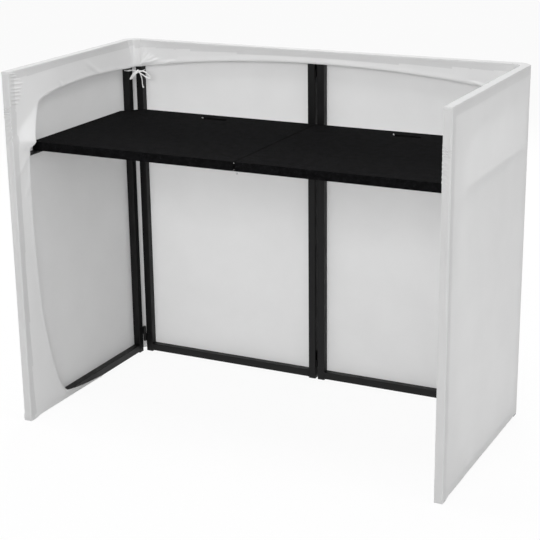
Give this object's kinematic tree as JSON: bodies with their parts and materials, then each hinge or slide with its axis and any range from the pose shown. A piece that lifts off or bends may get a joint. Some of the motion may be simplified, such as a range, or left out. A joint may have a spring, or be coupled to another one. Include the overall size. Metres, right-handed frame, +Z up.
{
  "type": "dj stand",
  "caption": "U-shaped folding performance stand: hinged square-tube frames in a stretch cloth cover, with a carpeted tabletop resting between the sides",
  "frame": {"origin": "centre of the footprint on the floor", "axes": "+Z up; +X along the front, from the user's left to the user's right; +Y from the user towards the audience"},
  "size_m": [1.4324, 0.7484, 1.1397],
  "materials": {
    "frame_steel": "black powder coat, satin",
    "foot_cap": "moulded black plastic",
    "cover_cloth": "white stretch cloth, matt",
    "tie_string": "flat white cotton tape",
    "table_carpet": "short needled carpet, charcoal with fine pale flecks",
    "table_board": "bare plywood",
    "zinc_plated_steel": "zinc plated"
  },
  "bodies": {
    "facade_left_frame": {"facade_left_middle_post": "frame_steel", "facade_left_middle_foot_cap": "foot_cap", "facade_left_corner_post": "frame_steel", "facade_left_corner_foot_cap": "foot_cap", "facade_left_top_rail": "frame_steel", "facade_left_bottom_rail": "frame_steel", "facade_left_cover": "cover_cloth", "left_corner_low_hinge_pin": "frame_steel", "left_corner_high_hinge_pin": "frame_steel", "middle_low_hinge_pin": "frame_steel", "middle_high_hinge_pin": "frame_steel", "left_middle_bracket": "frame_steel", "left_bracket_lower_screw": "zinc_plated_steel", "left_bracket_upper_screw": "zinc_plated_steel", "left_corner_tie": "tie_string"},
    "left_wing": {"left_wing_near_post": "frame_steel", "left_wing_near_foot_cap": "foot_cap", "left_wing_rear_post": "frame_steel", "left_wing_rear_foot_cap": "foot_cap", "left_wing_top_rail": "frame_steel", "left_wing_bottom_rail": "frame_steel", "left_wing_cross_rail": "frame_steel", "left_wing_cover": "cover_cloth", "left_corner_low_hinge_sleeve": "frame_steel", "left_corner_high_hinge_sleeve": "frame_steel"},
    "facade_right_frame": {"facade_right_middle_post": "frame_steel", "facade_right_middle_foot_cap": "foot_cap", "facade_right_corner_post": "frame_steel", "facade_right_corner_foot_cap": "foot_cap", "facade_right_top_rail": "frame_steel", "facade_right_bottom_rail": "frame_steel", "facade_right_cover": "cover_cloth", "right_corner_low_hinge_pin": "frame_steel", "right_corner_high_hinge_pin": "frame_steel", "middle_low_hinge_sleeve": "frame_steel", "middle_high_hinge_sleeve": "frame_steel", "right_middle_bracket": "frame_steel", "right_bracket_lower_screw": "zinc_plated_steel", "right_bracket_upper_screw": "zinc_plated_steel", "right_corner_tie": "tie_string"},
    "right_wing": {"right_wing_near_post": "frame_steel", "right_wing_near_foot_cap": "foot_cap", "right_wing_rear_post": "frame_steel", "right_wing_rear_foot_cap": "foot_cap", "right_wing_top_rail": "frame_steel", "right_wing_bottom_rail": "frame_steel", "right_wing_cross_rail": "frame_steel", "right_wing_cover": "cover_cloth", "right_corner_low_hinge_sleeve": "frame_steel", "right_corner_high_hinge_sleeve": "frame_steel"},
    "tabletop": {"tabletop_left_board": "table_board", "tabletop_right_board": "table_board", "tabletop_left_carpet": "table_carpet", "tabletop_right_carpet": "table_carpet", "table_bolt_housing": "zinc_plated_steel", "table_bolt_keeper": "zinc_plated_steel"},
    "front_table_bolt": {"table_bolt": "zinc_plated_steel"}
  },
  "joints": [
    {"name": "middle_fold", "type": "hinge", "parent": "facade_left_frame", "child": "facade_right_frame", "pos_m": [0, 0.3699, 0], "axis": [0, 0, 1], "range_deg": [0, 180]},
    {"name": "left_wing_hinge", "type": "hinge", "parent": "facade_left_frame", "child": "left_wing", "pos_m": [-0.6856, 0.3384, 0], "axis": [0, 0, -1], "range_deg": [0, 90]},
    {"name": "right_wing_hinge", "type": "hinge", "parent": "facade_right_frame", "child": "right_wing", "pos_m": [0.6856, 0.3384, 0], "axis": [0, 0, 1], "range_deg": [0, 90]},
    {"name": "table_lift", "type": "slide", "parent": "facade_left_frame", "child": "tabletop", "axis": [0, 0, 1], "range_m": [0, 0.05]},
    {"name": "table_bolt_slide", "type": "slide", "parent": "tabletop", "child": "front_table_bolt", "axis": [-1, 0, 0], "range_m": [0, 0.023]}
  ]
}
